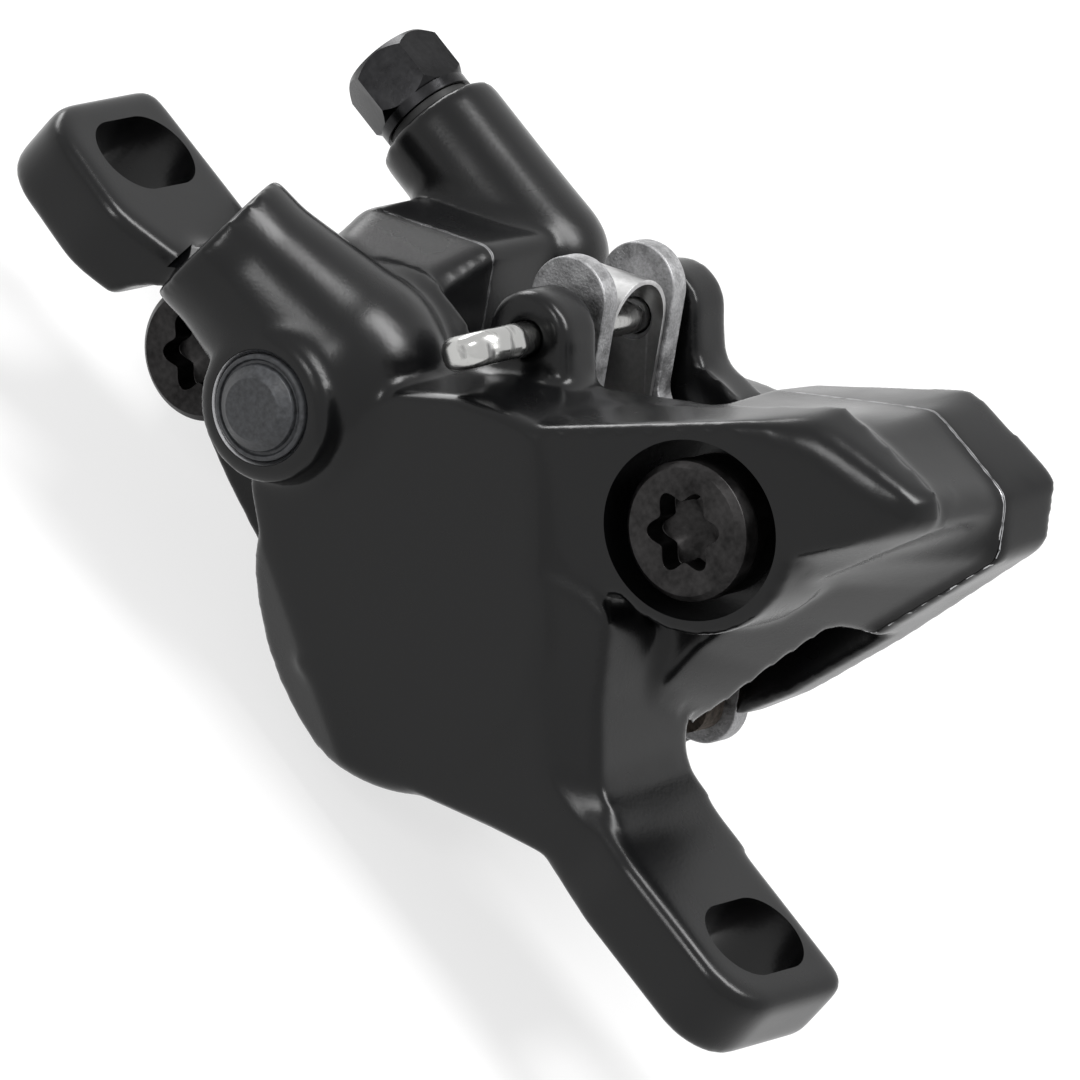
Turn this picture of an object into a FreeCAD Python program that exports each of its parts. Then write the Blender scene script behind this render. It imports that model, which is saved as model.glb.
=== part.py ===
import FreeCAD
import Part
import math
import os
from FreeCAD import Vector

# Millimetres. X runs along the row of the two mounting slots, Y along the pistons, Z away from the
# mounting faces. The origin is midway between the slots, level with the mounting faces and in the
# split plane, where the brake disc turns.

# Mounting ears
mount_spacing = 74.0
mount_slot_width = 6.4
mount_slot_length = 9.7
mount_offset = 11.5
ear_thickness = 6.2
ear_outer_reach = 5.7
ear_front_reach = 7.5
ear_rear_reach = 6.7
ear_edge_round = 1.1

# Housing datum, from which the outlines of the housings are measured
datum_x = -4.0
datum_z = -0.9

# Frame of the pads: its t axis lies along the disc, its r axis points away from the wheel axle
pad_tilt = 33.2

# Pistons and their bores
bore_t = 10.2
bore_r = 0.0
piston_radius = 10.0
piston_fit = 0.04
piston_length = 8.6
piston_wall = 1.6
bore_end_room = 1.6
seal_groove_depth = 1.1
seal_width = 2.0
seal_setback = 2.4

# Pads and the pocket they hang in
pocket_half_width = 6.2
pocket_end_clearance = 0.25
pad_centre_t = 12.2
pad_half_length = 12.1
pad_bottom_r = -9.4
pad_shoulder_r = 11.6
pad_corner_round = 3.0
pad_tab_t = 9.9
pad_tab_width = 6.4
pad_plate_thickness = 1.7
pad_lining_thickness = 2.2
pad_gap = 2.7
lining_border = 1.1
lining_top_r = 6.6

# Disc slot
disc_slot_width = 5.0
disc_slot_radius = 81.5
disc_centre_t = 10.3
disc_centre_r = -73.6

# Pin that carries the pads
pin_t = 10.2
pin_r = 19.6
pad_tab_above_pin = 5.3
pin_radius = 1.25
pin_hole_clearance = 0.06
pin_end_y = 12.2
pin_head_y = 19.0
pin_eye_width = 5.0
pin_eye_gap = 1.5
pin_eye_turn = 60.6

# Spring over the pin, between the pads
spring_thickness = 0.35
spring_half_width = 2.6
spring_top_r = 23.4
spring_foot_r = 8.2
spring_wing_reach = 8.6
spring_wing_top_r = 11.4

# Lugs around the pin
lug_radius = 3.5
lug_thickness = 4.3
lug_edge_round = 0.6

# Piston bulges
bulge_radius = 13.8
bulge_offset_t = -1.6
front_face_y = 18.6
rear_face_y = 17.2
front_bulge_taper = 0.2
rear_bulge_taper = 1.6
front_crown_r = 16.4
rear_crown_r = 13.8
bulge_edge_round = 1.8
plate_edge_round = 1.0

# Flanges along the split
flange_depth = 7.6
rear_flange_depth = 6.3
nose_front_y = 13.0
ramp_t = 16.0
nose_end_t = 46.0
nose_rim_round = 0.3
arm_strip_drop = 1.3

# Body bolts
bolt_radius = 3.0
bolt_hole_clearance = 0.25
bolt_head_radius = 5.1
bolt_head_height = 4.8
bolt_shank_length = 14.4
bolt_socket_reach = 3.05
bolt_socket_waist = 2.2
bolt_socket_lobe = 0.8
bolt_socket_depth = 3.2
counterbore_clearance = 1.4
lower_bolt_x = 18.5
lower_bolt_z = 26.3
lower_bolt_seat_y = 12.1
upper_bolt_x = -20.0
upper_bolt_z = -0.2
upper_bolt_seat_y = 6.2
upper_bolt_boss_radius = 6.2
upper_bolt_rear_y = 9.6

# Hose port
hose_mouth_x = -22.4
hose_mouth_y = -17.6
hose_mouth_z = 11.3
hose_boss_radius = 5.9
hose_boss_flare = 1.8
hose_boss_length = 13.2
hose_turn = 17.0
hose_rise = 3.7
hose_port_radius = 3.5
hose_port_depth = 9.0
hose_seat_radius = 4.4
hose_seat_depth = 1.0
drill_point_angle = 118.0

# Cross drilling and its plug
plug_x = -9.55
plug_z = 8.05
plug_boss_y = 22.0
plug_boss_radius = 5.6
plug_boss_flare = 3.2
plug_radius = 3.9
plug_fit = 0.02
plug_depth = 2.6
plug_rim_height = 0.3
plug_button_radius = 2.3
plug_button_height = 1.1
plug_ring_half_width = 0.5
plug_ring_depth = 0.7
plug_ring_setback = 0.15
ring_room = 0.03
passage_radius = 1.3
crossover_ring_radius = 1.95
crossover_ring_section = 1.2

# Bleed port
bleed_mouth_x = -26.3
bleed_y = 11.2
bleed_z = 14.2
bleed_boss_radius = 4.9
bleed_boss_flare = 0.1
bleed_boss_length = 13.0
bleed_thread_radius = 2.5
bleed_thread_clearance = 0.05
bleed_hex_width = 7.0
bleed_hex_height = 4.7
hex_chamfer_length = 0.9
hex_chamfer_slope = 1.6
bleed_collar_radius = 3.7
bleed_collar_height = 0.6
bleed_neck_radius = 2.9
bleed_neck_height = 0.8
bleed_screw_length = 10.0

parts_folder = "parts"
os.makedirs(parts_folder, exist_ok=True)

tilt_cos = math.cos(math.radians(pad_tilt))
tilt_sin = math.sin(math.radians(pad_tilt))


def pad_point(t, r):
    """Place in x and height from the housing datum of a point of the pad frame."""
    return (t * tilt_cos - r * tilt_sin, t * tilt_sin + r * tilt_cos)


def pad_points(rows):
    """The same for a list of corners, each with its rounding radius."""
    return [pad_point(t, r) + (radius,) for t, r, radius in rows]


def place(x, y, height):
    """A point, with its x and its height measured from the housing datum."""
    return Vector(x + datum_x, y, height + datum_z)


def rounded_wire(corners, y):
    """Closed wire at one y through corners (x, height, radius), each corner rounded by its radius."""
    edges = []
    joints = []
    count = len(corners)
    for index in range(count):
        x, height, radius = corners[index]
        here = place(x, y, height)
        before = place(corners[index - 1][0], y, corners[index - 1][1]) - here
        after = place(corners[(index + 1) % count][0], y, corners[(index + 1) % count][1]) - here
        turn = before.getAngle(after)
        setback = radius / math.tan(turn / 2.0)
        setback = min(setback, 0.49 * before.Length, 0.49 * after.Length)
        if setback < 0.02:
            joints.append((here, here))
            continue
        start = here + before.normalize() * setback
        end = here + after.normalize() * setback
        fitted = setback * math.tan(turn / 2.0)
        toward = (before + after).normalize()
        middle = here + toward * (fitted / math.sin(turn / 2.0) - fitted)
        edges.append((index, Part.Arc(start, middle, end).toShape()))
        joints.append((start, end))
    ordered = []
    arcs = dict(edges)
    for index in range(count):
        if index in arcs:
            ordered.append(arcs[index])
        leave = joints[index][1]
        arrive = joints[(index + 1) % count][0]
        if leave.distanceToPoint(arrive) > 1e-6:
            ordered.append(Part.LineSegment(leave, arrive).toShape())
    return Part.Wire(ordered)


def slab(corners, y_from, y_to):
    """Plate of one outline between two values of y."""
    face = Part.Face(rounded_wire(corners, y_from))
    return face.extrude(Vector(0, y_to - y_from, 0))


def loft(corners, y_from, other_corners, y_to):
    """Solid that runs from one outline to another with as many corners."""
    wires = [rounded_wire(corners, y_from), rounded_wire(other_corners, y_to)]
    return Part.makeLoft(wires, True, True)


def rod_y(radius, y_from, y_to, x, height):
    """Round bar along Y."""
    return Part.makeCylinder(radius, abs(y_to - y_from), place(x, min(y_from, y_to), height), Vector(0, 1, 0))


def cone_y(radius_from, radius_to, y_from, y_to, x, height):
    """Round taper along Y."""
    direction = Vector(0, math.copysign(1.0, y_to - y_from), 0)
    return Part.makeCone(radius_from, radius_to, abs(y_to - y_from), place(x, y_from, height), direction)


def rod_between(radius, start, end):
    """Round bar from one point to another."""
    return Part.makeCylinder(radius, (end - start).Length, start, end - start)


def edges_at_y(shape, y):
    """Edges of a solid that lie wholly in the plane of one y."""
    found = []
    for edge in shape.Edges:
        box = edge.BoundBox
        if abs(box.YMin - y) < 1e-4 and abs(box.YMax - y) < 1e-4:
            found.append(edge)
    return found


def soften_face(shape, y, radius):
    """Round the rim of the face at one y."""
    return shape.makeFillet(radius, edges_at_y(shape, y))


def joined(shapes):
    """One solid out of several that overlap."""
    return shapes[0].multiFuse(shapes[1:])


def merged(shapes):
    """The same, with faces that lie in one surface made one."""
    return joined(shapes).removeSplitter()


# Places shared by several pieces
slot_x = mount_spacing / 2.0
bore_x, bore_height = pad_point(bore_t, bore_r)
pin_x, pin_height = pad_point(pin_t, pin_r)
pad_tab_top_r = pin_r + pad_tab_above_pin
bore_radius = piston_radius + piston_fit
plate_face_y = pad_gap / 2.0 + pad_lining_thickness
plate_back_y = plate_face_y + pad_plate_thickness
piston_end_y = plate_back_y + piston_length
bore_end_y = piston_end_y + bore_end_room
seal_y = pocket_half_width + seal_setback
hose_axis = Vector(
    -math.cos(math.radians(hose_rise)) * math.cos(math.radians(hose_turn)),
    -math.cos(math.radians(hose_rise)) * math.sin(math.radians(hose_turn)),
    math.sin(math.radians(hose_rise)),
)
hose_mouth = place(hose_mouth_x, hose_mouth_y, hose_mouth_z)
bleed_mouth = place(bleed_mouth_x, bleed_y, bleed_z)
bleed_axis = Vector(-1, 0, 0)

# Shared cut: the pocket for the pads, open towards the axle and out through the window
pocket_left = pad_centre_t - pad_half_length - pocket_end_clearance
pocket_right = pad_centre_t + pad_half_length + pocket_end_clearance
pocket_corners = pad_points([
    (pocket_left, -60.0, 0.0),
    (pocket_right, -60.0, 0.0),
    (pocket_right, 60.0, 0.0),
    (pocket_left, 60.0, 0.0),
])
pocket_cut = slab(pocket_corners, -pocket_half_width, pocket_half_width)
disc_x, disc_height = pad_point(disc_centre_t, disc_centre_r)
disc_cut = rod_y(disc_slot_radius, -disc_slot_width / 2.0, disc_slot_width / 2.0, disc_x, disc_height)


def housing_bore(side):
    """Piston bore with its seal groove, on one side of the disc."""
    end = side * bore_end_y
    bore = rod_y(bore_radius, side * (pocket_half_width - 1.0), end, bore_x, bore_height)
    groove_middle = side * seal_y
    groove_from = groove_middle - seal_width / 2.0
    groove_to = groove_middle + seal_width / 2.0
    groove = rod_y(bore_radius + seal_groove_depth, groove_from, groove_to, bore_x, bore_height)
    return bore.fuse(groove)


def bolt_cut(x, height, seat_y, head_room):
    """Room for one body bolt: its hole in the front housing and the counterbore for its head."""
    hole = rod_y(bolt_radius + bolt_hole_clearance, -seat_y - 1.0, 0.0, x, height)
    head = rod_y(bolt_head_radius + head_room, -seat_y, -seat_y - 40.0, x, height)
    return hole.fuse(head)


def mount_slot(side):
    """Slot across one ear, rounded at both ends and longest along Y."""
    half_width = mount_slot_width / 2.0
    reach = mount_slot_length / 2.0 - half_width
    middle = side * slot_x
    height = ear_thickness + 2.0
    corner = Vector(middle - half_width, -mount_offset - reach, -1.0)
    pieces = [Part.makeBox(mount_slot_width, 2.0 * reach, height, corner)]
    for y in (-reach, reach):
        foot = Vector(middle, y - mount_offset, -1.0)
        pieces.append(Part.makeCylinder(half_width, height, foot, Vector(0, 0, 1)))
    return merged(pieces)


def mount_ear(corners):
    """One ear as a plan outline (x, y, radius) raised by its thickness, with rounded rims."""
    wire = rounded_wire([(x - datum_x, y - datum_z, radius) for x, y, radius in corners], 0.0)
    wire.rotate(Vector(0, 0, 0), Vector(1, 0, 0), -90.0)
    face = Part.Face(wire)
    ear = face.extrude(Vector(0, 0, ear_thickness))
    rims = []
    for edge in ear.Edges:
        box = edge.BoundBox
        flat = box.ZLength < 1e-4
        outside = max(abs(box.XMin), abs(box.XMax)) > slot_x - mount_slot_width / 2.0
        if flat and outside:
            rims.append(edge)
    return ear.makeFillet(ear_edge_round, rims)


ear_front = -mount_offset - ear_front_reach
ear_rear = -mount_offset + ear_rear_reach
ear_end = slot_x + ear_outer_reach
upper_ear_root = -25.0
lower_ear_root = 24.0
upper_ear = mount_ear([
    (upper_ear_root, ear_front + 3.4, 0.0),
    (upper_ear_root - 7.5, ear_front - 0.6, 5.0),
    (-ear_end, ear_front + 0.2, 4.4),
    (-ear_end, ear_rear, 1.6),
    (upper_ear_root, ear_rear, 0.0),
])
lower_ear = mount_ear([
    (lower_ear_root, ear_front + 0.8, 0.0),
    (lower_ear_root + 5.0, ear_front, 4.0),
    (ear_end, ear_front, 4.4),
    (ear_end, ear_rear, 1.6),
    (lower_ear_root, ear_rear, 0.0),
])

ear_top = ear_thickness - datum_z
ear_bottom = -datum_z

# Front housing: flange, lofted from the split to the depth where the plate begins
front_split = [
    (-25.4, -6.2, 6.0),
    (-15.0, -9.0, 3.0),
    (-4.0, -10.4, 4.0),
    (8.0, -9.0, 6.0),
    (15.6, -6.4, 3.0),
    (22.2, 1.8, 3.0),
    (24.2, 6.6, 3.0),
    (25.7, 11.8, 3.0),
    (28.0, 23.0, 3.0),
    (31.2, 35.2, 1.6),
    (28.8, 38.7, 1.6),
    (20.6, 38.7, 1.6),
] + pad_points([
    (pocket_right, 18.7, 1.5),
    (pocket_left - 1.0, 14.5, 0.0),
]) + [(-25.0, 5.0, 3.0)]
front_depth = [
    (-20.6, -3.0, 4.0),
    (-12.0, -5.6, 3.0),
    (-4.0, -7.4, 4.0),
    (8.0, -8.6, 6.0),
    (16.4, -5.8, 3.0),
    (21.2, 2.4, 3.0),
    (22.8, 8.6, 3.0),
    (22.6, 16.6, 2.0),
    (24.6, 26.4, 3.0),
    (29.9, 38.4, 1.2),
    (28.6, 39.8, 1.2),
    (19.4, 38.6, 1.6),
] + pad_points([
    (pocket_right, 18.2, 1.5),
    (pocket_left - 1.0, 14.3, 0.0),
]) + [(-20.4, 5.0, 3.0)]
front_flange = loft(front_split, 0.0, front_depth, -flange_depth - 2.4)

# Arm from the bulge down to the lower ear, along the notch that leaves room for the mounting bolt
arm_cap = [
    (4.0, 10.0, 0.0),
    (12.2, 16.6, 2.0),
    (17.0, 10.9, 3.0),
    (23.8, 5.6, 3.0),
    (30.0, ear_top - 1.4, 1.5),
    (34.0, ear_top - 1.2, 0.0),
    (34.0, ear_bottom + 1.2, 0.0),
    (28.4, ear_bottom + 1.2, 4.0),
    (23.4, -0.2, 4.0),
    (15.6, -4.6, 0.0),
    (4.0, -5.0, 0.0),
]
arm_edge = [
    (4.0, 12.0, 0.0),
    (18.4, 18.0, 2.0),
    (22.6, 12.4, 3.0),
    (26.9, 8.1, 3.0),
    (31.2, ear_top - 0.02, 1.5),
    (34.0, ear_top - 0.02, 0.0),
    (34.0, ear_bottom + 0.02, 0.0),
    (27.6, ear_bottom + 0.3, 4.0),
    (22.6, -1.4, 4.0),
    (15.0, -5.6, 0.0),
    (4.0, -6.0, 0.0),
]
arm_back = [
    (4.0, 10.0, 0.0),
    (20.4, 15.4, 2.0),
    (23.4, 10.8, 3.0),
    (26.2, 7.7, 3.0),
    (31.0, ear_top - 0.02, 1.5),
    (34.0, ear_top - 0.02, 0.0),
    (34.0, ear_bottom + 0.02, 0.0),
    (27.0, ear_bottom + 0.1, 4.0),
    (22.0, -2.0, 4.0),
    (15.0, -6.0, 0.0),
    (4.0, -6.0, 0.0),
]
arm_cap_y = -front_face_y + 0.1
arm_edge_y = arm_cap_y + arm_strip_drop
arm = loft(arm_back, ear_rear + 0.03, arm_edge, arm_edge_y)
arm_face = loft(arm_edge, arm_edge_y, arm_cap, arm_cap_y)

# Neck from the upper ear to the shoulder, behind the hose boss
neck_corners = [
    (-22.4, ear_bottom, 0.0),
    (-22.4, ear_top, 1.0),
    (-20.2, 11.4, 2.0),
    (-12.0, 15.6, 3.0),
    (-7.0, 13.0, 0.0),
    (-7.0, 2.0, 0.0),
    (-14.0, ear_bottom, 0.0),
]
neck = slab(neck_corners, 0.0, ear_front + 5.0)

# Nose: the flange's far end drawn further forward. Its front face runs down from the piston plate.
nose_back = pad_points([
    (14.0, 15.8, 0.0),
    (37.0, 22.4, 1.5),
    (46.2, 18.3, 1.2),
    (46.4, 16.0, 0.8),
    (36.0, 8.4, 3.0),
    (26.8, 4.4, 2.0),
    (14.0, 4.0, 0.0),
])
nose_front = pad_points([
    (14.0, 15.2, 0.0),
    (36.4, 21.4, 1.5),
    (45.4, 18.2, 1.2),
    (45.6, 17.0, 0.8),
    (36.2, 13.6, 3.0),
    (26.4, 6.4, 2.0),
    (14.0, 4.2, 0.0),
])
nose = loft(nose_back, -flange_depth - 2.0, nose_front, -front_face_y)


def half_space(point, normal):
    """Block that fills everything on one side of a plane, as far as the brake reaches."""
    size = 4.0 * mount_spacing
    block = Part.makeBox(size, size, size, Vector(-size / 2.0, -size / 2.0, 0.0))
    block.Placement = FreeCAD.Placement(point, FreeCAD.Rotation(Vector(0, 0, 1), normal))
    return block


def soften_rim(shape, point, normal, radius):
    """Round the rim of the face that lies in one plane."""
    rim = []
    for edge in shape.Edges:
        ends = [vertex.Point for vertex in edge.Vertexes] + [edge.CenterOfMass]
        if all(abs((end - point).dot(normal)) < 1e-3 for end in ends):
            rim.append(edge)
    return shape.makeFillet(radius, rim)


ramp_x, ramp_height = pad_point(ramp_t, 0.0)
ramp_point = place(ramp_x, -front_face_y, ramp_height)
ramp_along = Vector(tilt_cos, (front_face_y - nose_front_y) / (nose_end_t - ramp_t), tilt_sin)
ramp_normal = ramp_along.cross(Vector(-tilt_sin, 0, tilt_cos)).normalize()
nose = nose.cut(half_space(ramp_point, ramp_normal))
nose = soften_rim(nose, ramp_point, ramp_normal, nose_rim_round)


def piston_plate(side, face_y, offset_t, taper, crown_r):
    """Raised plate and round bulge over one piston."""
    foot_y = side * flange_depth
    top_y = side * face_y
    foot = pad_points([
        (-9.4, 4.6, 2.0),
        (-6.2, -4.4, 5.0),
        (9.0, -9.0, 0.0),
        (22.4, -6.4, 3.0),
        (23.8, 0.4, 3.0),
        (24.6, 8.0, 3.0),
        (25.0, crown_r + 1.0, 3.0),
        (15.0, crown_r + 0.8, 2.0),
        (10.5, crown_r + 0.8, 2.0),
        (6.0, crown_r + 0.2, 2.0),
        (-6.0, crown_r - 2.4, 4.0),
    ])
    top = pad_points([
        (-6.0, 5.6, 2.0),
        (-3.0, -1.0, 5.0),
        (9.0, -8.0, 0.0),
        (19.4, -6.4, 3.0),
        (20.0, 0.4, 3.0),
        (19.6, 7.6, 2.0),
        (17.6, crown_r - 0.4, 2.0),
        (14.2, crown_r, 2.0),
        (10.3, crown_r, 2.0),
        (6.0, crown_r - 1.0, 2.0),
        (-3.0, crown_r - 4.0, 4.0),
    ])
    plate = loft(foot, foot_y, top, top_y)
    plate = soften_face(plate, top_y, plate_edge_round)
    x, height = pad_point(bore_t + offset_t, bore_r)
    bulge = cone_y(bulge_radius, bulge_radius - taper, side * (pocket_half_width - 0.6), top_y, x, height)
    bulge = soften_face(bulge, top_y, bulge_edge_round)
    return plate.fuse(bulge)


def bulge_bevel():
    """Wedge that bevels the lower left rim of the front bulge."""
    start_x, start_height = pad_point(-3.2, 0.8)
    end_x, end_height = pad_point(5.9, -12.1)
    along = Vector(end_x - start_x, 0.0, end_height - start_height).normalize()
    outward = along.cross(Vector(0, -1, 0))
    normal = (outward * 0.5 + Vector(0, -1, 0)).normalize()
    return half_space(place(start_x, -front_face_y, start_height), normal)


def pin_lug(side):
    """Round-topped lug that the pad pin passes, on one side of the pads."""
    near_y = side * pocket_half_width
    far_y = side * (pocket_half_width + lug_thickness)
    eye = rod_y(lug_radius, near_y, far_y, pin_x, pin_height)
    root = pad_points([
        (pin_t - lug_radius, pin_r, 0.0),
        (pin_t + lug_radius, pin_r, 0.0),
        (pin_t + lug_radius + 0.8, pin_r - 3.0, 2.0),
        (pin_t + lug_radius + 4.6, pin_r - 4.6, 0.0),
        (pin_t + lug_radius + 4.6, pin_r - 9.0, 0.0),
        (pin_t - lug_radius - 1.5, pin_r - 9.0, 0.0),
        (pin_t - lug_radius, pin_r - 3.0, 2.0),
    ])
    lug = merged([eye, slab(root, near_y, far_y)])
    return soften_face(lug, far_y, lug_edge_round)


# Shoulder beside the window, with the hose boss and the plug boss on it
shoulder_corners = pad_points([
    (-12.6, 22.1, 2.0),
    (pocket_left, 22.1, 1.0),
    (pocket_left, 8.0, 0.0),
    (-12.6, 8.0, 0.0),
])
shoulder_front_corners = pad_points([
    (-10.4, 17.4, 3.0),
    (-1.2, 17.0, 3.0),
    (-1.2, 6.0, 0.0),
    (-10.4, 6.0, 0.0),
])
shoulder_front_y = -front_face_y + 3.0
front_shoulder = loft(shoulder_corners, 0.0, shoulder_front_corners, shoulder_front_y)
hose_root = hose_mouth - hose_axis * hose_boss_length
hose_boss = Part.makeCylinder(hose_boss_radius, hose_boss_length, hose_root, hose_axis)
hose_flare_length = hose_boss_length - 3.0
hose_flare = Part.makeCone(
    hose_boss_radius + hose_boss_flare,
    hose_boss_radius,
    hose_flare_length,
    hose_root,
    hose_axis,
)
hose_ball = Part.makeSphere(hose_boss_radius + hose_boss_flare, hose_root)
plug_boss = rod_y(plug_boss_radius, -plug_boss_y, -2.0, plug_x, plug_z)
plug_boss = soften_face(plug_boss, -plug_boss_y, 0.9)
plug_flare = cone_y(
    plug_boss_radius,
    plug_boss_radius + plug_boss_flare,
    3.0 - plug_boss_y,
    -6.0,
    plug_x,
    plug_z,
)

front_solid = joined([
    front_flange,
    nose,
    piston_plate(-1.0, front_face_y, bulge_offset_t, front_bulge_taper, front_crown_r).cut(bulge_bevel()),
    arm,
    arm_face,
    neck,
    front_shoulder,
    hose_boss,
    hose_flare,
    hose_ball,
    plug_boss,
    plug_flare,
    pin_lug(-1.0),
    upper_ear,
    lower_ear,
])

# Fluid passages: the cross drilling from the plug through the split, and the drillings that meet it
chamber_y = (piston_end_y + bore_end_y) / 2.0
link_radius = bore_end_room / 2.0
plug_seat_y = plug_depth - plug_boss_y
cross_drilling = rod_y(passage_radius, plug_seat_y - 0.5, chamber_y + link_radius, plug_x, plug_z)
plug_hole = rod_y(plug_radius + plug_fit, plug_seat_y, -plug_boss_y - 5.0, plug_x, plug_z)


def chamber_link(side):
    """Drilling from the cross drilling into the fluid room behind one piston."""
    start = place(plug_x, side * chamber_y, plug_z)
    centre = place(bore_x, side * chamber_y, bore_height)
    reach = (centre - start).Length - bore_radius + 1.0
    return rod_between(link_radius, start, start + (centre - start).normalize() * reach)


hose_port = rod_between(hose_port_radius, hose_mouth + hose_axis, hose_mouth - hose_axis * hose_port_depth)
hose_tip_length = (hose_port_radius - passage_radius) * math.tan(math.radians(90.0 - drill_point_angle / 2.0))
hose_tip = Part.makeCone(
    hose_port_radius,
    passage_radius,
    hose_tip_length,
    hose_mouth - hose_axis * hose_port_depth,
    hose_axis * -1.0,
)
hose_seat = rod_between(hose_seat_radius, hose_mouth + hose_axis, hose_mouth - hose_axis * hose_seat_depth)
hose_reach = (hose_mouth_x - plug_x) / hose_axis.x
hose_meeting = place(plug_x, hose_mouth_y - hose_axis.y * hose_reach, plug_z)
hose_drilling = rod_between(passage_radius, hose_mouth - hose_axis * (hose_port_depth - 0.5), hose_meeting)
crossover_room = rod_y(
    crossover_ring_radius + crossover_ring_section / 2.0 + 0.05,
    -crossover_ring_section - 0.04,
    0.0,
    plug_x,
    plug_z,
)
pin_hole = rod_y(pin_radius + pin_hole_clearance, -40.0, 40.0, pin_x, pin_height)
lower_bolt_cut = bolt_cut(lower_bolt_x, lower_bolt_z, lower_bolt_seat_y, counterbore_clearance)
upper_bolt_cut = bolt_cut(upper_bolt_x, upper_bolt_z, upper_bolt_seat_y, 0.5)

front_housing = front_solid.cut([
    pocket_cut,
    disc_cut,
    housing_bore(-1.0),
    lower_bolt_cut,
    upper_bolt_cut,
    plug_hole,
    cross_drilling,
    chamber_link(-1.0),
    hose_port,
    hose_tip,
    hose_seat,
    hose_drilling,
    crossover_room,
    pin_hole,
    mount_slot(-1.0),
    mount_slot(1.0),
])

# Rear housing: the thinner flange, the second bulge, the bolt bosses and the bleed boss
rear_split = [
    (-25.4, -6.2, 6.0),
    (-15.0, -9.0, 3.0),
    (-4.0, -10.4, 4.0),
    (8.0, -9.6, 6.0),
    (15.6, -7.0, 3.0),
    (20.2, 0.2, 3.0),
    (23.2, 6.0, 3.0),
    (25.8, 12.4, 3.0),
    (28.6, 22.6, 3.0),
    (31.8, 35.2, 1.6),
    (28.8, 39.0, 1.6),
    (20.6, 38.8, 1.6),
] + pad_points([
    (pocket_right, 18.7, 1.5),
    (pocket_left - 1.0, 14.5, 0.0),
]) + [(-25.0, 5.0, 3.0)]
rear_depth = [
    (-25.4, -6.2, 6.0),
    (-15.0, -8.4, 3.0),
    (-4.0, -9.6, 4.0),
    (8.0, -9.0, 6.0),
    (16.0, -6.6, 3.0),
    (20.4, 0.4, 3.0),
    (23.2, 5.8, 3.0),
    (26.2, 13.0, 3.0),
    (28.6, 21.8, 3.0),
    (31.6, 35.6, 1.6),
    (28.6, 39.8, 1.6),
    (19.6, 38.8, 1.6),
] + pad_points([
    (pocket_right, 18.2, 1.5),
    (pocket_left - 1.0, 14.3, 0.0),
]) + [(-25.0, 5.0, 3.0)]
rear_flange = loft(rear_split, 0.0, rear_depth, rear_flange_depth)
rear_shoulder_y = bleed_y
rear_shoulder = slab(shoulder_corners, 0.0, rear_shoulder_y)
rear_shoulder = soften_face(rear_shoulder, rear_shoulder_y, 1.6)
bolt_boss = rod_y(upper_bolt_boss_radius, 0.0, upper_bolt_rear_y, upper_bolt_x, upper_bolt_z)
bolt_boss = soften_face(bolt_boss, upper_bolt_rear_y, 1.2)
passage_boss_y = chamber_y + link_radius + 1.5
passage_boss = rod_y(passage_radius + 2.6, 0.0, passage_boss_y, plug_x, plug_z)
passage_boss = soften_face(passage_boss, passage_boss_y, 1.2)
bleed_root = bleed_mouth - bleed_axis * bleed_boss_length
bleed_boss = Part.makeCylinder(bleed_boss_radius, bleed_boss_length, bleed_root, bleed_axis)
bleed_flare = Part.makeCone(
    bleed_boss_radius + bleed_boss_flare,
    bleed_boss_radius,
    bleed_boss_length - 4.0,
    bleed_root,
    bleed_axis,
)
bleed_ball = Part.makeSphere(bleed_boss_radius + bleed_boss_flare, bleed_root)
rear_solid = joined([
    rear_flange,
    piston_plate(1.0, rear_face_y, 0.0, rear_bulge_taper, rear_crown_r),
    rear_shoulder,
    bolt_boss,
    passage_boss,
    bleed_boss,
    bleed_flare,
    bleed_ball,
    pin_lug(1.0),
])
rear_side = Part.makeBox(200.0, 100.0, 200.0, Vector(-100.0, 0.0, -100.0))
bleed_hole_depth = bleed_screw_length + 1.5
bleed_hole_radius = bleed_thread_radius + bleed_thread_clearance
bleed_bottom = bleed_mouth - bleed_axis * bleed_hole_depth
bleed_hole = rod_between(bleed_hole_radius, bleed_mouth + bleed_axis, bleed_bottom)
bleed_drilling = rod_between(passage_radius, bleed_bottom + bleed_axis, place(plug_x, bleed_y, plug_z))
thread_radius = bolt_radius + 0.02
lower_thread_end = bolt_shank_length - lower_bolt_seat_y + 0.5
upper_thread_end = bolt_shank_length - upper_bolt_seat_y + 0.5
lower_thread = rod_y(thread_radius, -1.0, lower_thread_end, lower_bolt_x, lower_bolt_z)
upper_thread = rod_y(thread_radius, -1.0, upper_thread_end, upper_bolt_x, upper_bolt_z)
rear_housing = rear_solid.common(rear_side).cut([
    pocket_cut,
    disc_cut,
    housing_bore(1.0),
    lower_thread,
    upper_thread,
    cross_drilling,
    chamber_link(1.0),
    bleed_hole,
    bleed_drilling,
    pin_hole,
])


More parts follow.
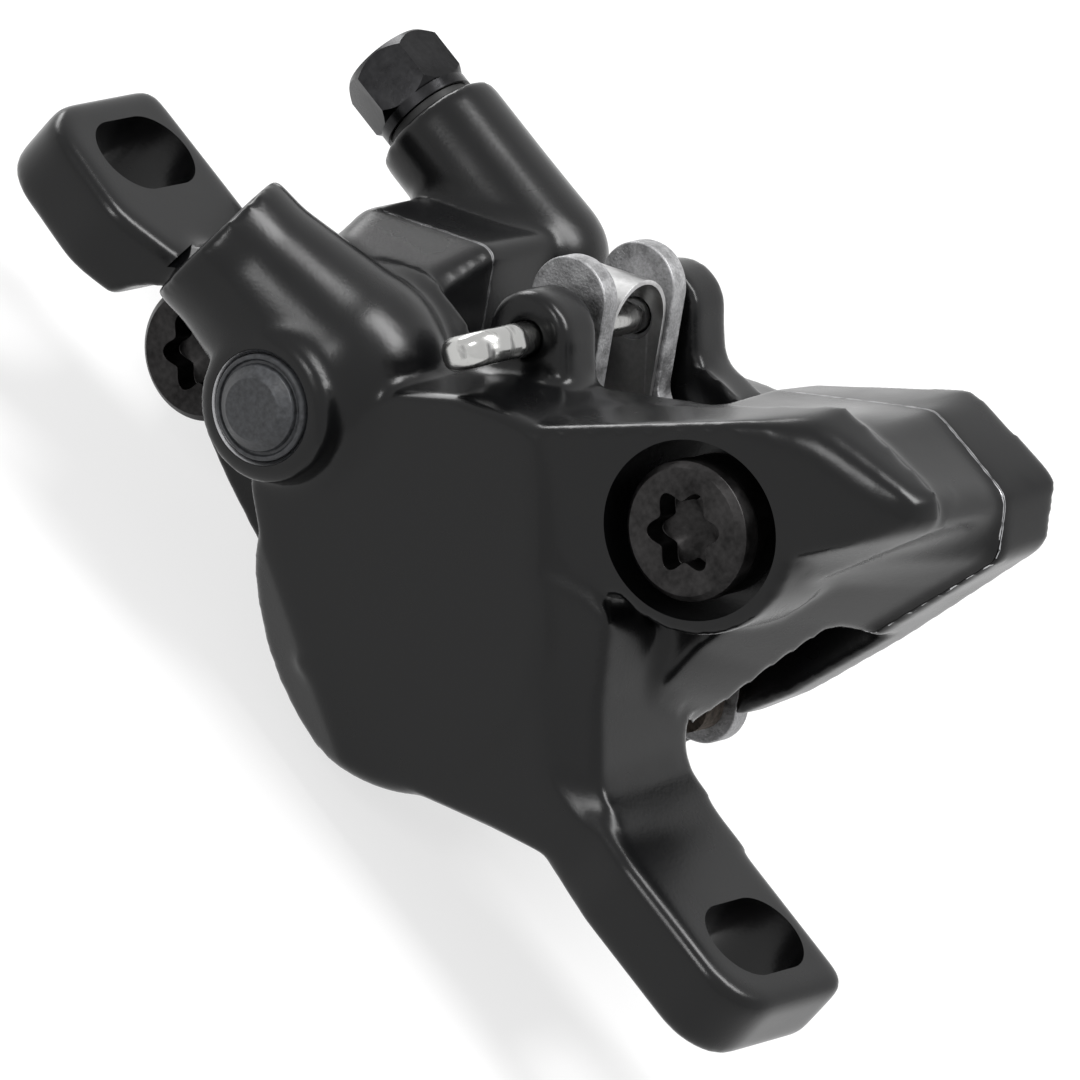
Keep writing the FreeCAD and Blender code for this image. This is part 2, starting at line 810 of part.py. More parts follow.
def fitted_bolt(x, height, seat_y):
    """Body bolt: round head with a six-lobed socket, shank into the rear housing."""
    head = rod_y(bolt_head_radius, -seat_y, -seat_y - bolt_head_height, x, height)
    head = soften_face(head, -seat_y - bolt_head_height, 0.5)
    shank = rod_y(bolt_radius, -seat_y - 0.5, bolt_shank_length - seat_y, x, height)
    tip = edges_at_y(shank, bolt_shank_length - seat_y)
    shank = shank.makeChamfer(0.6, tip)
    socket_top = -seat_y - bolt_head_height - 0.5
    socket_floor = socket_top + 0.5 + bolt_socket_depth
    socket = [rod_y(bolt_socket_waist, socket_top, socket_floor, x, height)]
    lobe_reach = bolt_socket_reach - bolt_socket_lobe
    for step in range(6):
        angle = math.radians(60.0 * step + 12.0)
        lobe_x = x + lobe_reach * math.cos(angle)
        lobe_height = height + lobe_reach * math.sin(angle)
        socket.append(rod_y(bolt_socket_lobe, socket_top, socket_floor, lobe_x, lobe_height))
    return head.fuse(shank).cut(socket)


body_bolt_lower = fitted_bolt(lower_bolt_x, lower_bolt_z, lower_bolt_seat_y)
body_bolt_upper = fitted_bolt(upper_bolt_x, upper_bolt_z, upper_bolt_seat_y)

# Plug that closes the cross drilling, with a raised button and a sealing ring in a groove
plug_rim_y = -plug_boss_y - plug_rim_height
plug_body = rod_y(plug_radius, plug_seat_y, plug_rim_y, plug_x, plug_z)
plug_body = soften_face(plug_body, plug_rim_y, 0.4)
button_y = -plug_boss_y - plug_button_height
button = rod_y(plug_button_radius, plug_rim_y + 0.5, button_y, plug_x, plug_z)
button = soften_face(button, button_y, 0.3)
ring_middle_y = (plug_seat_y + plug_rim_y) / 2.0 - plug_ring_setback
groove_from = ring_middle_y - plug_ring_half_width
groove_to = ring_middle_y + plug_ring_half_width
groove_floor = plug_radius - plug_ring_depth


def flat_ring(outer, inner, y_from, y_to, x, height):
    """Ring of rectangular section about an axis along Y."""
    return rod_y(outer, y_from, y_to, x, height).cut(rod_y(inner, y_from, y_to, x, height))


plug_groove = flat_ring(plug_radius + 1.0, groove_floor, groove_from, groove_to, plug_x, plug_z)
passage_plug = plug_body.fuse(button).cut(plug_groove)
passage_plug_ring = flat_ring(
    plug_radius,
    groove_floor + ring_room,
    groove_from + ring_room,
    groove_to - ring_room,
    plug_x,
    plug_z,
)
crossover_middle_y = -crossover_ring_section / 2.0 - 0.02
crossover_seal = Part.makeTorus(
    crossover_ring_radius,
    crossover_ring_section / 2.0,
    place(plug_x, crossover_middle_y, plug_z),
    Vector(0, 1, 0),
)


def piston(side):
    """Cup piston, open towards its pad."""
    near_y = side * (plate_back_y + 0.03)
    far_y = side * piston_end_y
    body = rod_y(piston_radius, near_y, far_y, bore_x, bore_height)
    body = soften_face(body, far_y, 0.6)
    hollow = rod_y(piston_radius - 3.0, near_y, far_y - side * piston_wall * 1.6, bore_x, bore_height)
    return body.cut(hollow)


def piston_seal(side):
    """Square ring in the groove of one bore."""
    middle = side * seal_y
    half = seal_width / 2.0 - ring_room
    outer = bore_radius + seal_groove_depth - ring_room
    inner = piston_radius + ring_room
    return flat_ring(outer, inner, middle - half, middle + half, bore_x, bore_height)


# Outline of a pad plate, with the tab that hangs on the pin
pad_left = pad_centre_t - pad_half_length
pad_right = pad_centre_t + pad_half_length
tab_left = pad_tab_t - pad_tab_width / 2.0
tab_right = pad_tab_t + pad_tab_width / 2.0
pad_corners = pad_points([
    (pad_left, pad_bottom_r, pad_corner_round),
    (pad_right, pad_bottom_r, pad_corner_round),
    (pad_right, pad_shoulder_r - 2.0, 1.6),
    (tab_right + 3.6, pad_shoulder_r, 1.5),
    (tab_right, pad_shoulder_r + 2.6, 2.4),
    (tab_right, pad_tab_top_r, pad_tab_width / 2.0),
    (tab_left, pad_tab_top_r, pad_tab_width / 2.0),
    (tab_left, pad_shoulder_r + 2.6, 2.4),
    (tab_left - 3.6, pad_shoulder_r, 1.5),
    (pad_left, pad_shoulder_r - 2.0, 1.6),
])
lining_corners = pad_points([
    (pad_left + lining_border, pad_bottom_r + lining_border, pad_corner_round - lining_border),
    (pad_right - lining_border, pad_bottom_r + lining_border, pad_corner_round - lining_border),
    (pad_right - lining_border, lining_top_r, 1.5),
    (pad_left + lining_border, lining_top_r, 1.5),
])


def pad_plate(side):
    """Steel plate of one pad."""
    plate = slab(pad_corners, side * plate_face_y, side * plate_back_y)
    return plate.cut(pin_hole)


def pad_lining(side):
    """Friction block on one plate, with a groove across its middle."""
    face_y = side * pad_gap / 2.0
    block = slab(lining_corners, face_y, side * plate_face_y)
    groove_corners = pad_points([
        (pad_centre_t - 0.5, -40.0, 0.0),
        (pad_centre_t + 0.5, -40.0, 0.0),
        (pad_centre_t + 0.5, 40.0, 0.0),
        (pad_centre_t - 0.5, 40.0, 0.0),
    ])
    groove = slab(groove_corners, face_y - side * 0.1, face_y + side * 1.0)
    return block.cut(groove)


# Spring between the plates: a bent strip over the pin with a wing along each plate
spring_outer_y = plate_face_y - 0.05
spring_inner_y = spring_outer_y - spring_thickness


def spring_strip(half_y):
    """Solid with a round top, as wide as the strip, out to one distance from the split."""
    x, height = pad_point(pin_t, spring_top_r - spring_outer_y)
    across = Vector(tilt_cos, 0, tilt_sin)
    up = Vector(-tilt_sin, 0, tilt_cos)
    start = place(x, 0.0, height) - across * spring_half_width
    crown = Part.makeCylinder(half_y, 2.0 * spring_half_width, start, across)
    leg_length = spring_top_r - spring_outer_y - spring_foot_r
    points = [
        start + Vector(0, -half_y, 0),
        start + Vector(0, half_y, 0),
        start + Vector(0, half_y, 0) - up * leg_length,
        start + Vector(0, -half_y, 0) - up * leg_length,
    ]
    face = Part.Face(Part.makePolygon(points + [points[0]]))
    return crown.fuse(face.extrude(across * (2.0 * spring_half_width)))


spring_bend = spring_strip(spring_outer_y).cut(spring_strip(spring_inner_y))
wing_corners = pad_points([
    (pin_t - spring_wing_reach, spring_foot_r, 0.8),
    (pin_t + spring_wing_reach, spring_foot_r, 0.8),
    (pin_t + spring_wing_reach, spring_wing_top_r - 1.4, 0.8),
    (pin_t + spring_half_width, spring_wing_top_r, 0.8),
    (pin_t - spring_half_width, spring_wing_top_r, 0.8),
    (pin_t - spring_wing_reach, spring_wing_top_r - 1.4, 0.8),
])
pad_spring = spring_bend.fuse([
    slab(wing_corners, -spring_outer_y, -spring_inner_y),
    slab(wing_corners, spring_inner_y, spring_outer_y),
]).cut(rod_y(pin_radius + 0.5, -10.0, 10.0, pin_x, pin_height))

# Split pin: an eye seen edge-on from the front, a neck and the shank through lugs, tabs and spring
eye_front_y = -pin_head_y
eye_back_y = -pocket_half_width - lug_thickness - 1.6
eye_half = pin_eye_width / 2.0
eye_thickness = 2.0 * pin_radius


def pin_eye(half_width, front_y, back_y, thickness):
    """Solid oval of the eye, lying in the plane of the pin, before its hole is cut."""
    corners = [
        (-half_width, front_y),
        (half_width, front_y),
        (half_width, back_y),
        (-half_width, back_y),
    ]
    wire = rounded_wire([(x - datum_x, y - datum_z, half_width * 0.96) for x, y in corners], 0.0)
    wire.rotate(Vector(0, 0, 0), Vector(1, 0, 0), -90.0)
    face = Part.Face(wire)
    oval = face.extrude(Vector(0, 0, thickness))
    oval.translate(Vector(0, 0, -thickness / 2.0))
    return oval


eye = pin_eye(eye_half, eye_front_y, eye_back_y, eye_thickness)
eye = eye.makeFillet(pin_radius * 0.8, [edge for edge in eye.Edges if edge.BoundBox.ZLength < 1e-4])
eye_hole = pin_eye(pin_eye_gap / 2.0, eye_front_y + 2.2, eye_back_y - 2.4, eye_thickness + 2.0)
eye = eye.cut(eye_hole)
eye.rotate(Vector(0, 0, 0), Vector(0, 1, 0), -pin_eye_turn)
eye.translate(place(pin_x, 0.0, pin_height))
pin_shank = rod_y(pin_radius, eye_back_y - 1.0, pin_end_y, pin_x, pin_height)
pin_shank = soften_face(pin_shank, pin_end_y, 0.5)
pad_pin = pin_shank.fuse(eye)

# Bleed screw with its hexagon, collar, neck and seal ring
collar_foot = bleed_mouth + bleed_axis * bleed_neck_height
hex_foot = collar_foot + bleed_axis * bleed_collar_height
hex_end = hex_foot + bleed_axis * bleed_hex_height
hex_reach = bleed_hex_width / math.sqrt(3.0)
hex_points = []
for step in range(7):
    angle = math.radians(60.0 * step + 8.0)
    hex_points.append(hex_foot + Vector(0, hex_reach * math.cos(angle), hex_reach * math.sin(angle)))
hexagon = Part.Face(Part.makePolygon(hex_points)).extrude(bleed_axis * bleed_hex_height)
hex_wide = hex_reach + 0.05
hex_narrow = hex_wide - hex_chamfer_length * hex_chamfer_slope / 2.0
hex_chamfer_top = hex_foot + bleed_axis * hex_chamfer_length
hex_chamfer_end = hex_end - bleed_axis * hex_chamfer_length
hex_straight = bleed_hex_height - 2.0 * hex_chamfer_length
hex_round = [
    Part.makeCylinder(hex_reach + 1.0, hex_straight, hex_chamfer_top, bleed_axis),
    Part.makeCone(hex_narrow, hex_wide, hex_chamfer_length, hex_foot, bleed_axis),
    Part.makeCone(hex_wide, hex_narrow, hex_chamfer_length, hex_chamfer_end, bleed_axis),
]
hexagon = hexagon.common(hex_round[0].multiFuse(hex_round[1:]))
collar = Part.makeCylinder(bleed_collar_radius, bleed_collar_height + 0.2, collar_foot, bleed_axis)
neck_length = bleed_neck_height + 0.2
neck_foot = bleed_mouth - bleed_axis * 0.1
bleed_neck = Part.makeCylinder(bleed_neck_radius - 0.9, neck_length, neck_foot, bleed_axis)
shank_foot = bleed_mouth - bleed_axis * bleed_screw_length
bleed_shank = Part.makeCylinder(bleed_thread_radius, bleed_screw_length + 0.3, shank_foot, bleed_axis)
bleed_screw = hexagon.multiFuse([collar, bleed_neck, bleed_shank])
seal_foot = bleed_mouth + bleed_axis * 0.05
bleed_seal_outer = Part.makeCylinder(bleed_neck_radius + 0.5, bleed_neck_height - 0.1, seal_foot, bleed_axis)
seal_hole_radius = bleed_thread_radius + ring_room
bleed_seal_inner = Part.makeCylinder(seal_hole_radius, bleed_neck_height, bleed_mouth, bleed_axis)
bleed_seal = bleed_seal_outer.cut(bleed_seal_inner)

nodes = {
    "front_housing": front_housing,
    "rear_housing": rear_housing,
    "body_bolt_lower": body_bolt_lower,
    "body_bolt_upper": body_bolt_upper,
    "passage_plug": passage_plug,
    "passage_plug_ring": passage_plug_ring,
    "crossover_seal": crossover_seal,
    "piston_front": piston(-1.0),
    "piston_rear": piston(1.0),
    "piston_seal_front": piston_seal(-1.0),
    "piston_seal_rear": piston_seal(1.0),
    "pad_front_plate": pad_plate(-1.0),
    "pad_front_lining": pad_lining(-1.0),
    "pad_rear_plate": pad_plate(1.0),
    "pad_rear_lining": pad_lining(1.0),
    "pad_spring": pad_spring,
    "pad_pin": pad_pin,
    "bleed_screw": bleed_screw,
    "bleed_seal": bleed_seal,
}
for name, shape in nodes.items():
    solids = shape.Solids
    whole = solids[0] if len(solids) == 1 else Part.makeCompound(solids)
    whole.exportStep(os.path.join(parts_folder, name + ".step"))
    print(name, len(solids), round(shape.Volume, 2), shape.isValid())
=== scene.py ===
import math

import bmesh
import bpy
from mathutils import Matrix, Vector


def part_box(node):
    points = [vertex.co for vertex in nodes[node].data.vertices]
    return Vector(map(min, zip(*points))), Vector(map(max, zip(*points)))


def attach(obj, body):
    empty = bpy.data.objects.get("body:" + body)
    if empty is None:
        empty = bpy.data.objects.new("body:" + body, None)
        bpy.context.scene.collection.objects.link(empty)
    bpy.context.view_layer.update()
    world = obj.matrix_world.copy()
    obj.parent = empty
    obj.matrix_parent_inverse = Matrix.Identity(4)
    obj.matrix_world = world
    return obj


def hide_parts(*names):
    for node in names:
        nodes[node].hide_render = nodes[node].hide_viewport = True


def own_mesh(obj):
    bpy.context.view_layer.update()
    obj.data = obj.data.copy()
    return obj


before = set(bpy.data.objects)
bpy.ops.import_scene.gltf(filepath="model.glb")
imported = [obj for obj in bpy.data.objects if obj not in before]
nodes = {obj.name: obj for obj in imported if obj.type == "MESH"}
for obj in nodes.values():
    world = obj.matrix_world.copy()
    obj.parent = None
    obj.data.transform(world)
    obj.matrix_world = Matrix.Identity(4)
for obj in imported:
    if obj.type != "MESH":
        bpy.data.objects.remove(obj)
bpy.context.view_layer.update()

# Housing: two die-cast aluminium halves, bolted together along a milled split and painted black.
# Casting leaves soft edges and generous inside corners, and the outside is dressed across the
# joint, so both halves are softened as one body, parted at the split, and then their seats are
# machined.
MM = 0.001
SAME_CORNER = 0.002 * MM
CAST_DETAIL = 0.40 * MM
SPLIT_GAP = 0.035 * MM
TOWARDS_FRONT = (0, -1, 0)
BOLT_SEAT_RADIUS = 6.5 * MM
BOLT_SEAT_Y = -12.1 * MM
SEAT_WALL = 1.1 * MM
SLOPE_POINT = Vector((9.389, -18.6, 7.861)) * MM
SLOPE_NORMAL = Vector((0.15354, -0.98298, 0.10048))
PLUG_BORE_RADIUS = 3.92 * MM
PLUG_BORE_BOTTOM_Y = -19.4 * MM
PLUG_BOSS_Y = -22.0 * MM
HOSE_MOUTH = Vector((-26.4, -17.6, 10.4)) * MM
HOSE_AXIS = Vector((-0.9543, -0.2918, 0.0645))
NOSE_EDGE_START = Vector((14.8, -14.7, 37.2)) * MM
NOSE_EDGE_END = Vector((26.0, -12.9, 38.4)) * MM
NOSE_ROUNDING = 5.5 * MM
MOUNT_SLOT_X = 37.0 * MM
MOUNT_SLOT_Y = -11.5 * MM
MOUNT_SLOT_RADIUS = 3.2 * MM
MOUNT_SLOT_REACH = 1.65 * MM
EAR_TOP = 6.2 * MM
PAD_RETRACTION = 0.9 * MM
PAD_ROOM = 0.12 * MM


def merged_form(source):
    """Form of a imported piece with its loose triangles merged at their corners."""
    form = bmesh.new()
    form.from_mesh(nodes[source].data)
    bmesh.ops.remove_doubles(form, verts=form.verts, dist=SAME_CORNER)
    return form


def box_centre(source):
    """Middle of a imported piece's box."""
    low, high = (Vector(corner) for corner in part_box(source))
    return (low + high) / 2.0


def keep_modified(piece):
    """Makes what the modifiers show the piece's own mesh."""
    shown = piece.evaluated_get(bpy.context.evaluated_depsgraph_get())
    mesh = bpy.data.meshes.new_from_object(shown)
    mesh.name = piece.name
    piece.modifiers.clear()
    piece.data = mesh


def smoothed_places(piece, passes):
    """Where the corners of a piece would lie after so many smoothing passes."""
    soften = piece.modifiers.new("soften", "SMOOTH")
    soften.factor = 0.5
    soften.iterations = passes
    shown = piece.evaluated_get(bpy.context.evaluated_depsgraph_get())
    places = [corner.co.copy() for corner in shown.data.vertices]
    piece.modifiers.clear()
    return places


def new_piece(name, form):
    """Object of a finished form."""
    mesh = bpy.data.meshes.new(name)
    form.to_mesh(mesh)
    form.free()
    piece = bpy.data.objects.new(name, mesh)
    bpy.context.scene.collection.objects.link(piece)
    return piece


def turned_form(profile, foot, along, steps=96):
    """Form of a profile of (radius, distance) pairs spun about an axis that starts at its foot."""
    form = bmesh.new()
    points = [form.verts.new((radius, 0.0, distance)) for radius, distance in profile]
    runs = [form.edges.new(pair) for pair in zip(points, points[1:])]
    bmesh.ops.spin(
        form,
        geom=points + runs,
        axis=(0, 0, 1),
        cent=(0, 0, 0),
        angle=math.tau,
        steps=steps,
        use_merge=True,
    )
    bmesh.ops.remove_doubles(form, verts=form.verts, dist=0.001 * MM)
    bmesh.ops.recalc_face_normals(form, faces=form.faces)
    place = Matrix.Translation(foot) @ Vector(along).to_track_quat("Z", "Y").to_matrix().to_4x4()
    bmesh.ops.transform(form, matrix=place, verts=form.verts)
    return form


def slot_form(side, low, high, room):
    """Form of a slot through one ear, from one height to another."""
    form = bmesh.new()
    radius = MOUNT_SLOT_RADIUS + room
    circle = bmesh.ops.create_circle(form, cap_ends=True, segments=96, radius=radius)
    for corner in circle["verts"]:
        corner.co.y += math.copysign(MOUNT_SLOT_REACH, corner.co.y)
    grown = bmesh.ops.extrude_face_region(form, geom=form.faces[:])["geom"]
    tops = [item for item in grown if isinstance(item, bmesh.types.BMVert)]
    bmesh.ops.translate(form, vec=(0.0, 0.0, high - low), verts=tops)
    bmesh.ops.translate(form, vec=(side * MOUNT_SLOT_X, MOUNT_SLOT_Y, low), verts=form.verts)
    bmesh.ops.recalc_face_normals(form, faces=form.faces)
    return form


def axis_distance(point, centre):
    """Distance of a point from a line along Y."""
    return math.hypot(point.x - centre.x, point.z - centre.z)


def rod_form(radius, low, high, foot, along):
    """Form of a plain rod, from one distance from its foot to another."""
    return turned_form([(0.0, low), (radius, low), (radius, high), (0.0, high)], foot, along)


lower_bolt_centre = box_centre("body_bolt_lower")
plug_centre = box_centre("passage_plug")
piston_centre = box_centre("piston_front")

# The blank is cast without its machined seats, so each seat is filled first and cut again later.
seat_foot = Vector((lower_bolt_centre.x, BOLT_SEAT_Y, lower_bolt_centre.z))
seat_boss = rod_form(BOLT_SEAT_RADIUS + SEAT_WALL, -4.0 * MM, 9.0 * MM, seat_foot, TOWARDS_FRONT)
bmesh.ops.bisect_plane(
    seat_boss,
    geom=seat_boss.verts[:] + seat_boss.edges[:] + seat_boss.faces[:],
    plane_co=SLOPE_POINT,
    plane_no=SLOPE_NORMAL,
    clear_outer=True,
)
open_rim = [edge for edge in seat_boss.edges if edge.is_boundary]
bmesh.ops.holes_fill(seat_boss, edges=open_rim, sides=0)
plug_foot = Vector((plug_centre.x, PLUG_BORE_BOTTOM_Y, plug_centre.z))
bore_depth = PLUG_BORE_BOTTOM_Y - PLUG_BOSS_Y
bore_filler = rod_form(4.5 * MM, -0.5 * MM, bore_depth, plug_foot, TOWARDS_FRONT)
port_filler = rod_form(5.2 * MM, -10.0 * MM, 0.0, HOSE_MOUTH, HOSE_AXIS)
slot_fillers = [slot_form(side, 0.0, EAR_TOP, 0.4 * MM) for side in (-1.0, 1.0)]
blank = bmesh.new()
for source in ("front_housing", "rear_housing"):
    blank.from_mesh(nodes[source].data)
for filler in [seat_boss, bore_filler, port_filler] + slot_fillers:
    filler_mesh = bpy.data.meshes.new("filler")
    filler.to_mesh(filler_mesh)
    filler.free()
    blank.from_mesh(filler_mesh)
    bpy.data.meshes.remove(filler_mesh)
bmesh.ops.remove_doubles(blank, verts=blank.verts, dist=SAME_CORNER)
casting = new_piece("casting", blank)
skin = casting.modifiers.new("cast skin", "REMESH")
skin.mode = "VOXEL"
skin.voxel_size = CAST_DETAIL
keep_modified(casting)

# The cast skin settles, its inside corners fill up outside the pocket and the cylinders, and the
# nose's front edge is rounded broadly.
POCKET_HALF_WIDTH = 6.3 * MM
CYLINDER_RADIUS = 11.8 * MM
CYLINDER_DEPTH = 16.9 * MM
SETTLING_PASSES = 5
FILLING_PASSES = 44
NOSE_PASSES = 150
FULL_RISE = 0.12 * MM
corners = casting.data.vertices
outside = []
for corner in corners:
    across = abs(corner.co.y)
    from_axis = axis_distance(corner.co, piston_centre)
    in_cylinder = from_axis < CYLINDER_RADIUS and across < CYLINDER_DEPTH
    if across > POCKET_HALF_WIDTH and not in_cylinder:
        outside.append(corner.index)
for corner, settled in zip(corners, smoothed_places(casting, SETTLING_PASSES)):
    corner.co = settled
filled = smoothed_places(casting, FILLING_PASSES)
outward = [corner.normal.copy() for corner in corners]
for index in outside:
    corner = corners[index]
    rise = (filled[index] - corner.co).dot(outward[index])
    if rise > 0.0:
        corner.co = corner.co.lerp(filled[index], min(1.0, rise / FULL_RISE))
nose_run = NOSE_EDGE_END - NOSE_EDGE_START
for corner, rounded in zip(corners, smoothed_places(casting, NOSE_PASSES)):
    along = (corner.co - NOSE_EDGE_START).dot(nose_run) / nose_run.length_squared
    nearest = NOSE_EDGE_START + max(0.0, min(1.0, along)) * nose_run
    share = max(0.0, 1.0 - (corner.co - nearest).length / NOSE_ROUNDING)
    if share > 0.0:
        corner.co = corner.co.lerp(rounded, share * share * (3.0 - 2.0 * share))
for corner, settled in zip(corners, smoothed_places(casting, SETTLING_PASSES)):
    corner.co = settled


def casting_half(name, side):
    """One half of the softened casting, parted just off the split, with its milled face closed."""
    form = bmesh.new()
    form.from_mesh(casting.data)
    bmesh.ops.bisect_plane(
        form,
        geom=form.verts[:] + form.edges[:] + form.faces[:],
        dist=0.0002 * MM,
        plane_co=(0.0, side * SPLIT_GAP, 0.0),
        plane_no=(0.0, -side, 0.0),
        clear_outer=True,
    )
    rim = [edge for edge in form.edges if edge.is_boundary]
    facing_split = (0.0, -side, 0.0)
    bmesh.ops.triangle_fill(
        form,
        use_beauty=True,
        use_dissolve=False,
        edges=rim,
        normal=facing_split,
    )
    bmesh.ops.recalc_face_normals(form, faces=form.faces)
    return new_piece(name, form)


def machine(piece, tool):
    """Cuts the form of a tool out of a piece, which takes no stored normals from the tool."""
    cutter = new_piece("tool", tool)
    if "custom_normal" in cutter.data.attributes:
        cutter.data.attributes.remove(cutter.data.attributes["custom_normal"])
    cut = piece.modifiers.new("machined", "BOOLEAN")
    cut.operation = "DIFFERENCE"
    cut.solver = "MANIFOLD"
    cut.object = cutter
    keep_modified(piece)
    bpy.data.objects.remove(cutter)


front_cast = casting_half("front_casting", -1.0)
rear_cast = casting_half("rear_casting", 1.0)
bpy.data.objects.remove(casting)
plug_tool = [
    (0.0, 0.0),
    (PLUG_BORE_RADIUS, 0.0),
    (PLUG_BORE_RADIUS, bore_depth - 0.3 * MM),
    (PLUG_BORE_RADIUS + 1.0 * MM, bore_depth + 0.7 * MM),
    (0.0, bore_depth + 0.7 * MM),
]
port_tool = [
    (0.0, -10.4 * MM),
    (1.3 * MM, -10.3 * MM),
    (3.5 * MM, -9.0 * MM),
    (3.5 * MM, -1.0 * MM),
    (4.4 * MM, -1.0 * MM),
    (4.4 * MM, -0.15 * MM),
    (5.4 * MM, 0.85 * MM),
    (0.0, 0.85 * MM),
]
pockets = ((front_cast, "pad_front_plate", -1.0), (rear_cast, "pad_rear_plate", 1.0))
for half, plate, side in pockets:
    pocket_tool = merged_form(plate)
    pocket_tool.normal_update()
    for corner in pocket_tool.verts:
        corner.co += PAD_ROOM * corner.normal
    bmesh.ops.translate(pocket_tool, vec=(0.0, side * PAD_RETRACTION, 0.0), verts=pocket_tool.verts)
    machine(half, pocket_tool)
machine(front_cast, rod_form(BOLT_SEAT_RADIUS, 0.0, 20.0 * MM, seat_foot, TOWARDS_FRONT))
machine(front_cast, turned_form(plug_tool, plug_foot, TOWARDS_FRONT))
machine(front_cast, turned_form(port_tool, HOSE_MOUTH, HOSE_AXIS))
for side in (-1.0, 1.0):
    machine(front_cast, slot_form(side, -1.0 * MM, EAR_TOP + 1.0 * MM, 0.0))
for half, node in ((front_cast, "front_housing"), (rear_cast, "rear_housing")):
    half.data.shade_smooth()
    half.data.set_sharp_from_angle(angle=math.radians(40.0))
    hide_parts(node)
    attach(half, "caliper")

# Paint of the housing: satin black over a fine blasted grain. It is missing along the milled split,
# on the seat of the plug and in the hose port, where bare aluminium shows.
PAINT_BLACK = (0.0030, 0.0031, 0.0034, 1.0)
BARE_ALUMINIUM = (0.42, 0.42, 0.43, 1.0)
BARE_SEAT_RADIUS = 4.17 * MM
BARE_PORT_RADIUS = 4.5 * MM
housing_paint = bpy.data.materials.new("housing_paint")
housing_paint.use_nodes = True
tree = housing_paint.node_tree
shader = tree.nodes["Principled BSDF"]
shader.inputs["Specular IOR Level"].default_value = 0.27
place = tree.nodes.new("ShaderNodeTexCoord")
surface = tree.nodes.new("ShaderNodeNewGeometry")


def math_node(tree, operation, first, second=None):
    """Math node with its two inputs linked or set."""
    node = tree.nodes.new("ShaderNodeMath")
    node.operation = operation
    for socket, value in zip(node.inputs, (first, second)):
        if isinstance(value, bpy.types.NodeSocket):
            tree.links.new(value, socket)
        elif value is not None:
            socket.default_value = value
    return node.outputs["Value"]


def ramp_node(tree, value, low, high, low_result, high_result):
    """Map Range node from one pair of limits to another."""
    node = tree.nodes.new("ShaderNodeMapRange")
    node.inputs["From Min"].default_value = low
    node.inputs["From Max"].default_value = high
    node.inputs["To Min"].default_value = low_result
    node.inputs["To Max"].default_value = high_result
    tree.links.new(value, node.inputs["Value"])
    return node.outputs["Result"]


def noise_node(tree, place, scale, detail):
    """Noise on object coordinates."""
    node = tree.nodes.new("ShaderNodeTexNoise")
    node.inputs["Scale"].default_value = scale
    node.inputs["Detail"].default_value = detail
    tree.links.new(place.outputs["Object"], node.inputs["Vector"])
    return node.outputs["Fac"]


def axis_distance_node(tree, place, point, axis):
    """Distance of the surface from a line."""
    from_point = tree.nodes.new("ShaderNodeVectorMath")
    from_point.operation = "SUBTRACT"
    tree.links.new(place.outputs["Object"], from_point.inputs[0])
    from_point.inputs[1].default_value = point
    across = tree.nodes.new("ShaderNodeVectorMath")
    across.operation = "CROSS_PRODUCT"
    tree.links.new(from_point.outputs["Vector"], across.inputs[0])
    across.inputs[1].default_value = axis
    size = tree.nodes.new("ShaderNodeVectorMath")
    size.operation = "LENGTH"
    tree.links.new(across.outputs["Vector"], size.inputs[0])
    return size.outputs["Value"]


def grain_bump(tree, grain, strength, distance):
    """Bump of a grain on the material's shader."""
    node = tree.nodes.new("ShaderNodeBump")
    node.inputs["Strength"].default_value = strength
    node.inputs["Distance"].default_value = distance
    tree.links.new(grain, node.inputs["Height"])
    tree.links.new(node.outputs["Normal"], tree.nodes["Principled BSDF"].inputs["Normal"])


def finish_with(material, *objects):
    """Gives objects one material alone."""
    for item in objects:
        item.data.materials.clear()
        item.data.materials.append(material)


position = tree.nodes.new("ShaderNodeSeparateXYZ")
tree.links.new(place.outputs["Object"], position.inputs["Vector"])
facing = tree.nodes.new("ShaderNodeSeparateXYZ")
tree.links.new(surface.outputs["Normal"], facing.inputs["Vector"])
from_split = math_node(tree, "ABSOLUTE", position.outputs["Y"])
ragged = ramp_node(tree, noise_node(tree, place, 900.0, 2.0), 0.35, 0.65, 0.05 * MM, 0.17 * MM)
on_rim = math_node(tree, "LESS_THAN", from_split, ragged)
sideways = math_node(tree, "LESS_THAN", math_node(tree, "ABSOLUTE", facing.outputs["Y"]), 0.5)
split_rim = math_node(tree, "MULTIPLY", on_rim, sideways)
from_plug = axis_distance_node(tree, place, plug_centre, (0.0, 1.0, 0.0))
plug_side = math_node(tree, "LESS_THAN", position.outputs["Y"], -19.0 * MM)
near_plug = math_node(tree, "LESS_THAN", from_plug, BARE_SEAT_RADIUS)
plug_seat = math_node(tree, "MULTIPLY", near_plug, plug_side)
from_hose = axis_distance_node(tree, place, HOSE_MOUTH, HOSE_AXIS)
hose_side = math_node(tree, "LESS_THAN", position.outputs["X"], -17.5 * MM)
near_hose = math_node(tree, "LESS_THAN", from_hose, BARE_PORT_RADIUS)
hose_seat = math_node(tree, "MULTIPLY", near_hose, hose_side)
bare = math_node(tree, "MAXIMUM", math_node(tree, "MAXIMUM", split_rim, plug_seat), hose_seat)
colour = tree.nodes.new("ShaderNodeMix")
colour.data_type = "RGBA"
colour.inputs["A"].default_value = PAINT_BLACK
colour.inputs["B"].default_value = BARE_ALUMINIUM
tree.links.new(bare, colour.inputs["Factor"])
tree.links.new(colour.outputs["Result"], shader.inputs["Base Color"])
tree.links.new(bare, shader.inputs["Metallic"])
sheen = ramp_node(tree, noise_node(tree, place, 170.0, 4.0), 0.3, 0.7, 0.22, 0.29)
tree.links.new(sheen, shader.inputs["Roughness"])
grain_bump(tree, noise_node(tree, place, 3400.0, 3.0), 0.12, 0.06 * MM)
finish_with(housing_paint, front_cast, rear_cast)

